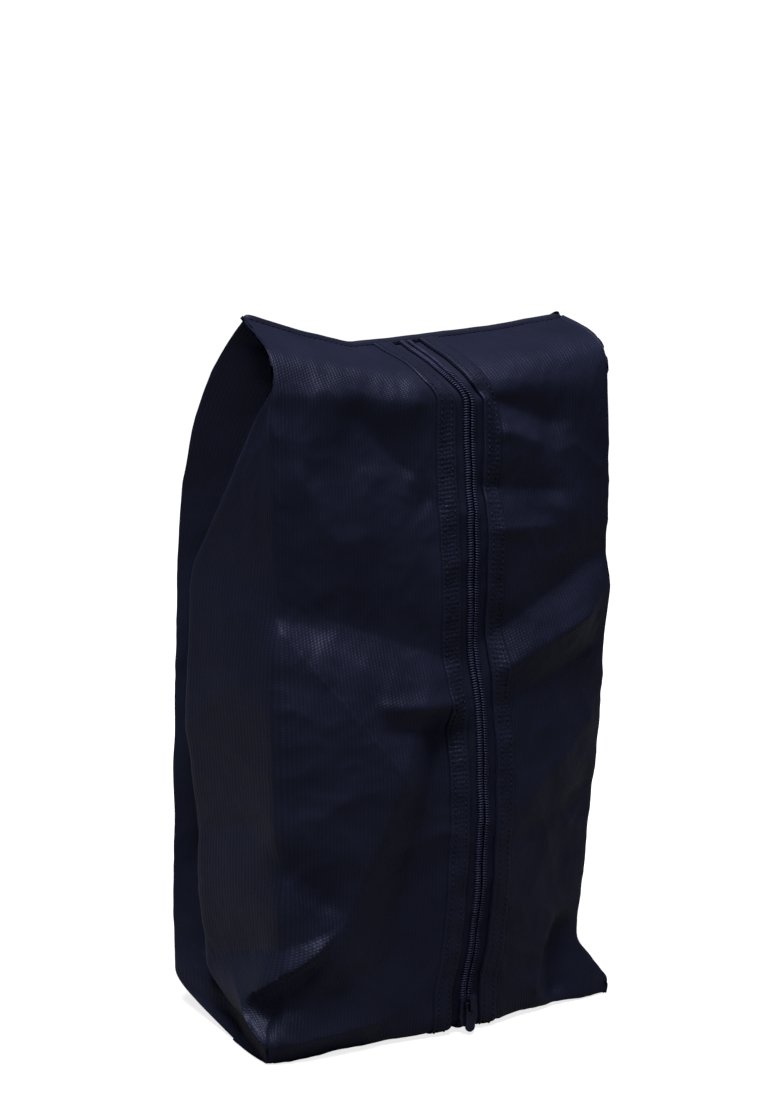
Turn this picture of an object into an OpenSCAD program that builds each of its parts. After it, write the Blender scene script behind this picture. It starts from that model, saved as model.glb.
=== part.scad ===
// Golf shoe bag: a gusseted cloth pouch standing on its end seam, with a full-length coil zip down the front.
// Millimetres, +Z up. The origin is on the floor, midway between the four upright creases.
// The zip faces -Y. The bag is drawn closed, with the slider parked at the bottom of the zip.

/* [Bag] */
// Width between the upright creases
bag_w = 190; // [185:1:205]
// Depth between the front and back creases
bag_d = 105; // [102:1:115]
// Height from the floor to the top of the end seam
bag_h = 355; // [350:1:370]
// How far the front swells out at the zip
front_bulge = 10; // [8:0.5:12]
// How far the back swells out
back_bulge = 6; // [4:0.5:9]
// Thickness of the coated nylon cloth
cloth_t = 0.8; // [0.6:0.1:0.9]

/* [Ends] */
// Height at which the front starts to round over to the top seam
shoulder_z = 312; // [312:1:315]
// Radius of the front shoulder
shoulder_r = 24; // [24:1:26]
// Radius of the back shoulder
back_shoulder_r = 16; // [12:1:20]
// Radius where the front turns under
foot_r = 7; // [5:1:8]
// Distance of both end seams in front of the middle
seam_forward = 15; // [12:1:18]

/* [Gussets] */
// Distance of the gusset fold behind the middle
fold_back = 22; // [18:1:26]
// How far the gusset fold goes in
fold_in = 13; // [10:1:14]
// How far the front leaf of the gusset swells out
leaf_out = 4; // [2:1:6]

/* [Zip] */
// Lower edge of the part of the zip that opens
mouth_bottom = 34; // [34:1:40]
// Upper edge of the part of the zip that opens
mouth_top = 290; // [284:1:290]
// How far the zip sits to the right of the middle
zip_x = 6; // [0:0.5:6]
// Half the width of the closed chain
chain_half = 3.2; // [3:0.1:3.4]
// Width of bare tape beside the chain
bare_tape = 5; // [4.5:0.5:6]
// Width of the stitched hem beside the zip
hem_w = 10; // [9:0.5:11]
// Distance between two teeth on one tape
tooth_pitch = 2.6; // [2.4:0.1:3]

/* [Slider] */
// Length of the slider
slider_len = 15; // [14:0.5:16]
// Length of the pull tab below its pivot
tab_len = 14.6; // [14:0.1:15]

/* [Hidden] */
$fn = 64;
far = 400;            // larger than anything in the bag
fit_gap = 0.1;        // between cloth pieces
half_w = bag_w / 2;
crease_y = bag_d / 2;
front_y = -(crease_y + front_bulge);
back_y = crease_y + back_bulge;
front_arc_r = (half_w * half_w + front_bulge * front_bulge) / (2 * front_bulge);
back_arc_r = (half_w * half_w + back_bulge * back_bulge) / (2 * back_bulge);
seam_y = -seam_forward;
binding_h = 8;
binding_t = 2.6;
roof_z = bag_h - 6;                   // where the two roof slopes meet inside the binding
back_shoulder_z = shoulder_z - 4;
back_foot_r = 0.8 * back_bulge;       // kept behind the back creases
back_wall_z = foot_r + 4;             // where the back base ends and the back wall starts
wall_clear = cloth_t + 0.2;           // the side view's walls stand this far outside the swollen ones
side_front = front_y - wall_clear;
side_back = back_y + wall_clear;
front_round = [side_front + shoulder_r, shoulder_z];
back_round = [side_back - back_shoulder_r, back_shoulder_z];
base_seam_half = 4;
edge_gap = 0.4;       // between a flap and the fixed cloth above or below it
slot_half = chain_half + bare_tape;
hem_outer = slot_half + hem_w;
gusset_clear = cloth_t + 0.4;         // from the crease to the edge of a gusset
edge_lap = 0.1;       // how far the roof and base lap past the wall they join
roof_start = shoulder_z + 0.5; // the front roof's cloth begins just above the wall
hem_t = cloth_t;
hem_top = shoulder_z - 2;             // the hem runs up to the shoulder
stitch_w = 0.5;
stitch_h = 0.35;
stitch_inset = 2.3;   // from each edge of the hem to its row of stitches
tape_t = 0.5;
tape_inset = cloth_t + 0.7;           // the tape lies this far behind the front of the cloth
chain_gap = 0.5;      // half the space between facing teeth, for the slider's post
coil_out = 0.4;       // how far the teeth stand in front of the cloth
coil_back = tape_inset - 0.05;
spine_w = 1.2;
zip_foot_z = foot_r / 2;              // lower end of the zip, clear of the turned-under cloth
slider_z = 5;
plate_t = 1.2;
slide_gap = 0.3;
plate_in = front_y - coil_out - slide_gap;      // inner face of the slider's outer plate
plate_out = plate_in - plate_t;
tape_inner_y = front_y + tape_inset + tape_t;
pivot_y = plate_out - 1.1;
pivot_z = slider_z + slider_len - 3.4;

function tangent_point(c, r, p, side) =
    let (v = p - c,
         a = atan2(v[1], v[0]) + side * acos(r / norm(v)))
    c + r * [cos(a), sin(a)];

// ---- shared shapes ----

// side view in (y, z): both walls, the rounded shoulders, the roof slopes and the turned-under foot
module side_shape(inset) {
    peak = [seam_y, roof_z - inset * 1.2];
    fr = shoulder_r - inset;
    br = back_shoulder_r - inset;
    foot_front = [side_front + foot_r, foot_r];
    foot_back = [side_back - back_foot_r, back_foot_r];
    polygon([[side_front + inset, foot_r], [side_front + foot_r, inset],
             [side_back - back_foot_r, inset], [side_back - inset, back_foot_r],
             [side_back - inset, back_shoulder_z], tangent_point(back_round, br, peak, -1),
             peak, tangent_point(front_round, fr, peak, 1), [side_front + inset, shoulder_z]]);
    translate(front_round) circle(r = fr);
    translate(back_round) circle(r = br);
    translate(foot_front) circle(r = foot_r - inset);
    translate(foot_back) circle(r = back_foot_r - inset);
}

// a side view pulled across the bag from x0 to x1
module across(x0, x1) {
    translate([x0, 0, 0]) rotate([90, 0, 90]) linear_extrude(height = x1 - x0) children();
}

// plan view of the disc whose edge is the swollen front (face -1) or back (face 1)
module swell_disc(face, inset) {
    arc_r = face < 0 ? front_arc_r : back_arc_r;
    centre_y = face < 0 ? front_y + front_arc_r : back_y - back_arc_r;
    translate([0, centre_y]) circle(r = arc_r - inset, $fn = 256);
}

// plan view of one side's gusset line, moved in by `inset`; side is -1 for left
function gusset_line(side, inset) =
    [for (p = [[half_w, -crease_y], [half_w + leaf_out, -crease_y * 0.38],
               [half_w - fold_in, fold_back], [half_w, crease_y]]) [side * (p[0] - inset), p[1]]];

module gusset_plan(inset) {
    left = gusset_line(-1, inset);
    right = gusset_line(1, inset);
    polygon([[left[0][0], -far], left[0], left[1], left[2], left[3], [left[3][0], far],
             [right[3][0], far], right[3], right[2], right[1], right[0], [right[0][0], -far]]);
}

// upright sheet of the swollen front or back
module wall_sheet(face, z0, z1) {
    intersection() {
        translate([0, 0, z0]) linear_extrude(height = z1 - z0) difference() {
            swell_disc(face, 0);
            swell_disc(face, cloth_t);
        }
        translate([-half_w, face < 0 ? -2 * crease_y : crease_y - 2, z0])
            cube([bag_w, crease_y + 2, z1 - z0]);
    }
}

// the wall of one end of the bag, up to the roof or base that it turns into
module end_wall(face, x0, x1, z0, z1) {
    intersection() {
        wall_sheet(face, z0, z1);
        across(x0, x1) side_shape(cloth_t + fit_gap);
    }
}

// the roof or base on one face of the bag
module end_cover(face, x0, x1, z0, z1, y0, y1) {
    intersection() {
        across(x0, x1) difference() {
            side_shape(0);
            side_shape(cloth_t);
        }
        translate([0, 0, z0]) linear_extrude(height = z1 - z0) intersection() {
            swell_disc(face, -edge_lap);
            gusset_plan(0);
            translate([-far, y0]) square([2 * far, y1 - y0]);
        }
    }
}

module slab(z0, z1) {
    translate([-far, -far, z0]) cube([2 * far, 2 * far, z1 - z0]);
}

module y_range(y0, y1) {
    translate([-far, y0, -far]) cube([2 * far, y1 - y0, 3 * far]);
}

// wall of the swollen front between two x positions, `out` in front of the cloth and `back` behind it
module front_strip(x0, x1, out, back, z0, z1) {
    intersection() {
        translate([0, front_y + front_arc_r, z0]) linear_extrude(height = z1 - z0) difference() {
            circle(r = front_arc_r + out, $fn = 256);
            circle(r = front_arc_r - back, $fn = 256);
        }
        translate([min(x0, x1), -far, z0]) cube([abs(x1 - x0), far, z1 - z0]);
    }
}

module panel_half(side, z0, z1) {
    front_strip(zip_x + side * slot_half, side * half_w, 0, cloth_t, z0, z1);
    hem(side, cloth_t, z0, z1);
}

// folded edge of the cloth beside the zip, reaching `back` into the cloth behind it
module hem(side, back, z0, z1) {
    front_strip(zip_x + side * slot_half, zip_x + side * hem_outer, hem_t, back, z0, z1);
}

module hem_rows(side, z0, z1) {
    for (x = [slot_half + stitch_inset, hem_outer - stitch_inset])
        front_strip(zip_x + side * (x - stitch_w / 2), zip_x + side * (x + stitch_w / 2),
                    hem_t + stitch_h, -hem_t - 0.02, z0, z1);
}

module flat_tape(side, z0, z1) {
    x0 = side < 0 ? -hem_outer : chain_gap;
    translate([zip_x + x0, front_y + tape_inset, z0]) cube([hem_outer - chain_gap, tape_t, z1 - z0]);
}

// straight row of teeth on a spine; the right row is half a pitch higher, so the two rows mesh
module tooth_row(side, z0, z1) {
    lift = side > 0 ? tooth_pitch / 2 : 0;
    count = floor((z1 - z0 - lift - tooth_pitch / 2) / tooth_pitch);
    inner = chain_half - spine_w;
    teeth = [for (i = [0 : count]) let (z = z0 + lift + i * tooth_pitch)
        each [[inner, z + 0.1], [chain_gap, z + 0.3],
              [chain_gap, z + tooth_pitch / 2 - 0.1], [inner, z + tooth_pitch / 2 + 0.1]]];
    outline = concat([[chain_half, z1], [chain_half, z0], [inner, z0]], teeth, [[inner, z1]]);
    translate([zip_x, front_y + coil_back, 0]) rotate([90, 0, 0])
        linear_extrude(height = coil_back + coil_out) polygon([for (p = outline) [side * p[0], p[1]]]);
}

// ---- cloth ----

module front_left_panel() {
    color([0.12, 0.13, 0.2]) panel_half(-1, mouth_bottom, mouth_top);
}

module front_right_panel() {
    color([0.12, 0.13, 0.2]) panel_half(1, mouth_bottom, mouth_top);
}

module front_top_panel() {
    z0 = mouth_top + edge_gap;
    y1 = seam_y - binding_t / 2 - fit_gap;
    color([0.13, 0.14, 0.21]) for (side = [-1, 1]) {
        x0 = side < 0 ? -far : zip_x + slot_half;
        x1 = side < 0 ? zip_x - slot_half : far;
        end_wall(-1, x0, x1, z0, bag_h);
        end_cover(-1, x0, x1, roof_start, bag_h, -far, y1);
        hem(side, cloth_t / 2, z0, hem_top);
    }
}

module front_base_panel() {
    z1 = mouth_bottom - edge_gap;
    color([0.11, 0.12, 0.18]) union() {
        for (side = [-1, 1]) {
            x0 = side < 0 ? -far : zip_x + slot_half;
            x1 = side < 0 ? zip_x - slot_half : far;
            end_wall(-1, x0, x1, -1, z1);
            end_cover(-1, x0, x1, -1, foot_r, -far, seam_y - base_seam_half - fit_gap);
            hem(side, cloth_t / 2, foot_r, z1);
        }
        // flat cloth under the end of the zip, which joins the two sides
        translate([zip_x - slot_half - 1, side_front + foot_r + 1, 0])
            cube([2 * slot_half + 2, seam_y - base_seam_half - fit_gap - side_front - foot_r - 1, cloth_t]);
    }
}

module back_panel() {
    color([0.11, 0.12, 0.18]) wall_sheet(1, back_wall_z, back_shoulder_z);
}

module back_top_panel() {
    z0 = back_shoulder_z + edge_gap;
    color([0.12, 0.13, 0.19]) union() {
        end_wall(1, -far, far, z0, bag_h);
        end_cover(1, -far, far, z0, bag_h, seam_y + binding_t / 2 + fit_gap, far);
    }
}

module back_base_panel() {
    z1 = back_wall_z - edge_gap;
    color([0.1, 0.11, 0.17]) union() {
        end_wall(1, -far, far, -1, z1);
        end_cover(1, -far, far, -1, z1, seam_y + base_seam_half + fit_gap, far);
    }
}

module gusset(side) {
    intersection() {
        translate([0, 0, -1]) linear_extrude(height = bag_h + 2) difference() {
            gusset_plan(0);
            gusset_plan(cloth_t);
        }
        across(side < 0 ? -far : 0, side < 0 ? 0 : far) side_shape(cloth_t + fit_gap);
        y_range(-crease_y + gusset_clear, crease_y - gusset_clear);
        difference() {
            slab(-1, far);
            translate([-far, seam_y - binding_t / 2 - fit_gap, bag_h - binding_h - fit_gap])
                cube([2 * far, binding_t + 2 * fit_gap, far]);
        }
    }
}

module left_gusset() {
    color([0.1, 0.11, 0.17]) gusset(-1);
}

module right_gusset() {
    color([0.1, 0.11, 0.17]) gusset(1);
}

// ---- zip ----

module left_zip_tape() {
    color([0.08, 0.09, 0.14]) flat_tape(-1, mouth_bottom, mouth_top);
}

module right_zip_tape() {
    color([0.08, 0.09, 0.14]) flat_tape(1, mouth_bottom, mouth_top);
}

module left_zip_coil() {
    color([0.2, 0.21, 0.3]) tooth_row(-1, mouth_bottom, mouth_top);
}

module right_zip_coil() {
    color([0.2, 0.21, 0.3]) tooth_row(1, mouth_bottom, mouth_top);
}

// band that follows the side view, between two depths behind the front of the cloth
module shoulder_band(x0, x1, outer, inner) {
    intersection() {
        across(zip_x + x0, zip_x + x1) difference() {
            side_shape(outer);
            side_shape(inner);
        }
        slab(mouth_top + edge_gap, far);
        y_range(-far, seam_y - binding_t / 2 - 2 * fit_gap);
    }
}

module top_zip_tapes() {
    color([0.08, 0.09, 0.14]) for (side = [-1, 1])
        shoulder_band(side < 0 ? -hem_outer : chain_gap, side < 0 ? -chain_gap : hem_outer,
                      wall_clear + tape_inset, wall_clear + tape_inset + tape_t);
}

module top_zip_coils() {
    inner = chain_half - spine_w;
    outer_r = shoulder_r - wall_clear + coil_out;
    turn = tooth_pitch / outer_r * 180 / PI;
    teeth_round = floor(60 / turn);
    color([0.2, 0.21, 0.3]) for (side = [-1, 1]) {
        tooth_row(side, mouth_top + edge_gap, shoulder_z);
        intersection() {
            shoulder_band(side < 0 ? -chain_half : inner, side < 0 ? -inner : chain_half,
                          wall_clear - coil_out, wall_clear + coil_back);
            slab(shoulder_z, far);
        }
        for (i = [0 : teeth_round - 1])
            translate([zip_x, front_round[0], front_round[1]])
                rotate([-(i + (side > 0 ? 0.5 : 0)) * turn, 0, 0])
                    translate([side < 0 ? -inner - 0.1 : chain_gap, -outer_r, 0.3])
                        cube([inner + 0.1 - chain_gap, coil_back + coil_out, tooth_pitch / 2 - 0.2]);
    }
}

module bottom_zip_tapes() {
    color([0.08, 0.09, 0.14]) for (side = [-1, 1])
        flat_tape(side, zip_foot_z, mouth_bottom - edge_gap);
}

module bottom_zip_coils() {
    color([0.2, 0.21, 0.3]) for (side = [-1, 1])
        tooth_row(side, zip_foot_z, mouth_bottom - edge_gap);
}

// ---- stitching ----

module left_zip_stitching() {
    color([0.3, 0.32, 0.42]) hem_rows(-1, mouth_bottom, mouth_top);
}

module right_zip_stitching() {
    color([0.3, 0.32, 0.42]) hem_rows(1, mouth_bottom, mouth_top);
}

module top_zip_stitching() {
    color([0.3, 0.32, 0.42]) for (side = [-1, 1]) hem_rows(side, mouth_top + edge_gap, hem_top);
}

module bottom_zip_stitching() {
    color([0.3, 0.32, 0.42]) for (side = [-1, 1]) hem_rows(side, foot_r, mouth_bottom - edge_gap);
}

module top_seam_binding() {
    round_r = binding_t / 2;
    color([0.16, 0.17, 0.25]) across(-half_w, half_w) {
        translate([seam_y - round_r, bag_h - binding_h]) square([binding_t, binding_h - round_r]);
        translate([seam_y, bag_h - round_r]) circle(r = round_r);
    }
}

module bottom_seam_binding() {
    color([0.16, 0.17, 0.25]) across(1 - half_w, half_w - 1)
        translate([seam_y - base_seam_half, 0]) square([2 * base_seam_half, 2 * cloth_t]);
}

module top_seam_stitching() {
    color([0.3, 0.32, 0.42]) for (face = [-1, 1])
        translate([-half_w + 1, seam_y + face * (binding_t / 2 + stitch_h / 2 + 0.02) - stitch_h / 2,
                   bag_h - 3.6])
            cube([bag_w - 2, stitch_h, stitch_w]);
}

module bottom_seam_stitching() {
    color([0.3, 0.32, 0.42]) for (y = [seam_y - 2, seam_y + 2])
        translate([2 - half_w, y - stitch_w / 2, 2 * cloth_t + 0.02])
            cube([bag_w - 4, stitch_w, stitch_h]);
}

// ---- slider ----

module slider_plate(thick) {
    z0 = slider_z;
    z1 = slider_z + slider_len;
    rotate([90, 0, 0]) linear_extrude(height = thick)
        polygon([[-4.2, z0], [-5.2, z0 + 4], [-4.3, z1 - 1], [-3.6, z1],
                 [3.6, z1], [4.3, z1 - 1], [5.2, z0 + 4], [4.2, z0]]);
}

module slider_body() {
    inner_plate_y = tape_inner_y + slide_gap;
    bridge_half = 0.9;
    bridge_z0 = pivot_z - 3.1;
    bridge_len = 5.5;
    flange_x = chain_half + 0.4;
    color([0.14, 0.15, 0.22]) translate([zip_x, 0, 0]) union() {
        translate([0, plate_in, 0]) slider_plate(plate_t);
        translate([0, inner_plate_y + 1, 0]) slider_plate(1);
        // post that parts the teeth
        translate([-0.3, plate_in - 0.1, slider_z + 1]) cube([0.6, inner_plate_y - plate_in + 0.2, 4]);
        // guide flanges
        for (side = [-1, 1])
            translate([side < 0 ? -flange_x - 0.7 : flange_x, plate_in - 0.1, slider_z + 5])
                cube([0.7, front_y + tape_inset - slide_gap - plate_in + 0.1, slider_len - 6]);
        // bridge that holds the pull tab
        difference() {
            translate([-bridge_half, plate_out - 3.1, bridge_z0]) cube([2 * bridge_half, 3.2, bridge_len]);
            translate([-bridge_half - 1, plate_out - 2.2, bridge_z0 + 1])
                cube([2 * bridge_half + 2, 2.2, bridge_len - 2]);
        }
    }
}

module pull_tab() {
    arm_x = 1.3;
    tab_half = 2.6;
    tab_t = 1;
    window = 4.2;
    color([0.12, 0.13, 0.19]) translate([zip_x, pivot_y, pivot_z]) union() {
        rotate([0, 90, 0]) cylinder(h = 2 * tab_half, r = 0.6, center = true, $fn = 32);
        difference() {
            translate([-tab_half, -tab_t / 2, -tab_len + tab_half]) cube([2 * tab_half, tab_t, tab_len - tab_half]);
            translate([-arm_x, -tab_t, -window]) cube([2 * arm_x, 2 * tab_t, window + 1]);
        }
        translate([0, tab_t / 2, -tab_len + tab_half]) rotate([90, 0, 0]) cylinder(h = tab_t, r = tab_half);
    }
}

front_left_panel();
front_right_panel();
front_top_panel();
front_base_panel();
back_panel();
back_top_panel();
back_base_panel();
left_gusset();
right_gusset();
left_zip_tape();
right_zip_tape();
left_zip_coil();
right_zip_coil();
top_zip_tapes();
top_zip_coils();
bottom_zip_tapes();
bottom_zip_coils();
left_zip_stitching();
right_zip_stitching();
top_zip_stitching();
bottom_zip_stitching();
top_seam_binding();
bottom_seam_binding();
top_seam_stitching();
bottom_seam_stitching();
slider_body();
pull_tab();
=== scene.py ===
"""Looks for the golf shoe bag: cloth skin, coil zip, slider, seams, materials, light and camera.

Lengths are millimetres in the part's frame until a mesh is made. The whole cloth is one grid, the skin.
Its rows run 0..1 along the base, 1..2 up the walls and 2..3 over the roof to the top seam. Its columns
run from the zip's centre round the left side, the back and the right side to the zip's centre again.
"""

import math

import bmesh
import bpy
import numpy as np
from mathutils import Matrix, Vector, noise


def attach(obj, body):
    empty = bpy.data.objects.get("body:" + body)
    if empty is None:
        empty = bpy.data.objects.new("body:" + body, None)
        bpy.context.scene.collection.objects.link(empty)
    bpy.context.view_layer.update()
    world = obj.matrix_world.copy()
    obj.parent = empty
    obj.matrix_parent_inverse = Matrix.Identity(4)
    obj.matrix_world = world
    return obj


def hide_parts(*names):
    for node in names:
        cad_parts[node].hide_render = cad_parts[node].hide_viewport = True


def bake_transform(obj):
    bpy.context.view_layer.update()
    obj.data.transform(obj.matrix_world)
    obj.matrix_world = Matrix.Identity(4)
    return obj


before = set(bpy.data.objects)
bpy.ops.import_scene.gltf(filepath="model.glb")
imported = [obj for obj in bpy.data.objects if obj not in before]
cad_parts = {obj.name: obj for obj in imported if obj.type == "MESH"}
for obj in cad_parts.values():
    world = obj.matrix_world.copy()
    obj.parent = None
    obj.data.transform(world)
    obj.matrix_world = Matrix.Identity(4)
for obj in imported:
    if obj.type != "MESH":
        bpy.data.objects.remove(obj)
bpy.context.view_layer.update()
MM = 0.001

# ---------------------------------------------------------------- driving sizes
CLOTH_T = 0.8           # thickness of every sheet of cloth
SEAM_Y = -15.0          # both end seams run along x at this y
WALL_H = 330.0          # height at the left crease where the wall ends and the roof starts
MID_Z = 162.0           # the flaps open widest here, where their pieces divide
NEAR_ZIP = 24           # columns beside the zip stand one millimetre apart up to here
FAR_COLS = 48           # columns from there to the front crease
LEAF_COLS, HOLLOW_COLS, SIDE_COLS, BACK_COLS = 40, 22, 22, 90
BASE_ROWS, WALL_ROWS, ROOF_ROWS = 26, 236, 40
T_ROWS = np.concatenate([
    np.linspace(0, 1, BASE_ROWS, endpoint=False),
    np.linspace(1, 2, WALL_ROWS, endpoint=False),
    np.linspace(2, 3, ROOF_ROWS),
])


# ---------------------------------------------------------------- lines and noise
def wall_t(z):
    """Row parameter of a height on the wall."""
    return 1 + z / WALL_H


def line(points):
    """A smooth line through (t, x, y, z) points, sampled at every row. It never overshoots a point."""
    pts = np.array(points, float)
    ts, at = pts[:, 0], pts[:, 1:]
    gaps = np.diff(ts)[:, None]
    rise = np.diff(at, axis=0) / gaps
    before, after = rise[:-1], rise[1:]
    same_way = before * after > 0
    weight_b, weight_a = 2 * gaps[1:] + gaps[:-1], gaps[1:] + 2 * gaps[:-1]
    with np.errstate(divide="ignore", invalid="ignore"):
        mean = (weight_b + weight_a) / (weight_b / before + weight_a / after)
    slopes = np.concatenate([rise[:1], np.where(same_way, mean, 0.0), rise[-1:]])
    i = np.clip(np.searchsorted(ts, T_ROWS, side="right") - 1, 0, len(ts) - 2)
    gap = (ts[i + 1] - ts[i])[:, None]
    s = (T_ROWS - ts[i])[:, None] / gap
    return ((2 * s**3 - 3 * s**2 + 1) * at[i] + (s**3 - 2 * s**2 + s) * slopes[i] * gap
            + (-2 * s**3 + 3 * s**2) * at[i + 1] + (s**3 - s**2) * slopes[i + 1] * gap)


def rows_from(ts, values):
    """A number for every row, read off straight lines between the given rows."""
    return np.interp(T_ROWS, ts, values)


def smoothstep(x, a, b):
    """Rises smoothly from 0 at a to 1 at b."""
    s = np.clip((x - a) / (b - a), 0, 1)
    return s * s * (3 - 2 * s)


def soften(grid, passes, axis):
    """Averages each line of the grid with its neighbours along an axis, ends kept."""
    g = np.moveaxis(grid.copy(), axis, 0)
    for _ in range(passes):
        g[1:-1] = (g[:-2] + 2 * g[1:-1] + g[2:]) / 4
    return np.moveaxis(g, 0, axis)


def crumple(x, z, size, seed):
    """Smooth noise between about -1 and 1."""
    flat = np.array([noise.noise(Vector((a, b, seed)))
                     for a, b in zip(x.ravel() / size, z.ravel() / size)])
    return flat.reshape(x.shape)


def ridged(x, z, size, seed):
    """Sharp-crested noise for pressed, crumpled nylon."""
    return 0.6 - 2 * np.abs(crumple(x, z, size, seed))


def unit(v):
    """Vectors scaled to length one."""
    return v / np.maximum(np.linalg.norm(v, axis=-1, keepdims=True), 1e-9)


def grid_normals(p):
    """Outward normals of a grid whose rows go up and whose columns go left round the bag."""
    along = np.gradient(p, axis=1)
    up = np.gradient(p, axis=0)
    return unit(np.cross(up, along))


# ---------------------------------------------------------------- lines of the bag
LEFT_CREASE = line([
    (0, -98, SEAM_Y + 1, 0.9), (0.5, -98.5, -32, 0.5), (1, -97.5, -49.5, 0.6),
    (wall_t(10), -96.5, -51, 10), (wall_t(30), -92.5, -52, 30), (wall_t(74), -89.5, -52.5, 74),
    (wall_t(116), -90.5, -52.5, 116), (wall_t(200), -92, -52.5, 200), (wall_t(300), -93, -52.5, 300),
    (1.97, -93, -52.3, 321), (2.12, -92.8, -49, 334), (2.5, -92, -34, 344), (3, -90, SEAM_Y, 351.5)])
RIGHT_CREASE = line([
    (0, 95, SEAM_Y + 1, 0.9), (0.5, 97, -32, 0.5), (1, 97.5, -52, 0.6),
    (wall_t(7), 99, -51.5, 7), (wall_t(18), 92, -50.5, 18), (wall_t(33), 82.5, -50, 33),
    (wall_t(62), 84.5, -50, 62), (wall_t(85), 86.5, -50, 85), (wall_t(109), 90, -50, 109),
    (wall_t(161), 95, -50, 161), (wall_t(191), 97.3, -50, 191), (wall_t(216), 99.3, -50, 216),
    (wall_t(241), 98, -50, 241), (wall_t(300), 95.6, -50, 300), (1.97, 94.6, -49.5, 321),
    (2.12, 94.2, -46, 333), (2.5, 93.5, -33, 341.5), (3, 91.5, SEAM_Y, 347)])
ZIP_LINE = line([
    (0, 5, SEAM_Y, 1.8), (0.6, 5.4, -40, 1.8), (1, 5.9, -56.5, 1.8), (wall_t(5), 6, -61.9, 5),
    (wall_t(8), 6, -62.1, 8), (wall_t(21), 6, -62.1, 21), (wall_t(43), 8.6, -65.2, 43),
    (wall_t(81), 10, -68.5, 81), (wall_t(119), 10.6, -70.6, 119), (wall_t(150), 10.4, -71, 150),
    (wall_t(203), 7.6, -70, 203), (wall_t(250), 6.3, -67.5, 250), (wall_t(282), 6, -64, 282),
    (wall_t(294), 6, -62.1, 294), (wall_t(311), 6, -62.1, 311), (2.0, 1.2, -56.5, 321),
    (2.2, -0.8, -47.5, 326), (2.45, -1, -38, 329.6), (2.8, -1.7, -22, 334.6), (3, -2.6, SEAM_Y, 337.5)])
BACK_LEFT = line([
    (0, -98, SEAM_Y + 2, 1.2), (0.4, -98, 5, 3.5), (0.75, -98.5, 31, 8), (1, -99.5, 53, 17),
    (wall_t(60), -98.5, 54.5, 64), (wall_t(116), -97.5, 53.5, 118), (wall_t(230), -94.5, 52, 228),
    (wall_t(262), -94, 49, 262), (wall_t(279), -94, 42, 279), (wall_t(303), -93.5, 31, 303),
    (2.0, -92, 15, 327), (2.5, -90.5, -2, 342.5), (3, -90, SEAM_Y + 1, 351)])
LEFT_RIDGE = line([
    (0, -98.2, SEAM_Y + 1, 1.2), (0.5, -98.8, -32, 0.9), (1, -97.8, -48.8, 1.2),
    (wall_t(9), -97.5, -49.6, 9), (wall_t(14), -98, -38.5, 14), (wall_t(21), -98.6, -11, 21),
    (wall_t(32), -99, 14.5, 32), (wall_t(50), -99, 18, 50), (wall_t(112), -98.6, 25.3, 112),
    (wall_t(175), -99, 29, 175), (wall_t(209), -99.2, 28, 209), (wall_t(227), -98.6, 25.5, 227),
    (wall_t(244), -97.8, 12.6, 244), (wall_t(270), -96.6, -9.6, 270), (wall_t(301), -95, -33, 301),
    (wall_t(316), -94, -46.3, 316), (1.97, -93.3, -51.8, 321.5), (2.12, -93, -48.6, 334),
    (2.5, -92.2, -33.6, 344), (3, -90.2, SEAM_Y, 351.5)])


def mirrored(a_line, push=0.0):
    """The same line on the other side of the bag, moved sideways by push."""
    return a_line * np.array([-1, 1, 1]) + np.array([push, 0, 0])


def groove_line(ridge, back, side):
    """Deepest line of the gusset's inward fold, half way between the ridge and the back crease."""
    p = (ridge + back) / 2
    depth = rows_from([0, 0.5, 1, wall_t(30), wall_t(80), wall_t(250), 2, 2.5, 3],
                      [93, 92, 91, 88, 81, 82, 73, 66, 62])
    p[:, 0] = side * depth
    p[:, 2] += rows_from([0, 0.6, 1, wall_t(20), wall_t(300), 2, 3], [1.6, 2.5, 1, 0, 0, -5, -13])
    return p


BACK_RIGHT = mirrored(BACK_LEFT, 1.5)
RIGHT_RIDGE = RIGHT_CREASE + mirrored(LEFT_RIDGE - LEFT_CREASE)
LEFT_GROOVE = groove_line(LEFT_RIDGE, BACK_LEFT, -1)
RIGHT_GROOVE = groove_line(RIGHT_RIDGE, BACK_RIGHT, 1)

FRONT_SWELL = rows_from([0, 1, wall_t(12), wall_t(40), wall_t(120), wall_t(210), wall_t(280), 2, 2.3, 3],
                        [0, 0, 3, 9, 17, 17, 13, 7, 0, 0])
ROOF_SINK = rows_from([2.0, 2.3, 2.7, 3], [0, 0.25, 0.8, 1.0])
SEAM_X = [-90, -60, -33, -16, 7, 29, 42, 92]                    # the top seam's sagging line
SEAM_Z = [352, 343, 336.2, 337.6, 338.8, 340.4, 341.5, 347.2]
BACK_SWELL = rows_from([0, 1, wall_t(60), wall_t(230), 2.2, 3], [0, 1, 6, 6, 2, 0])

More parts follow.
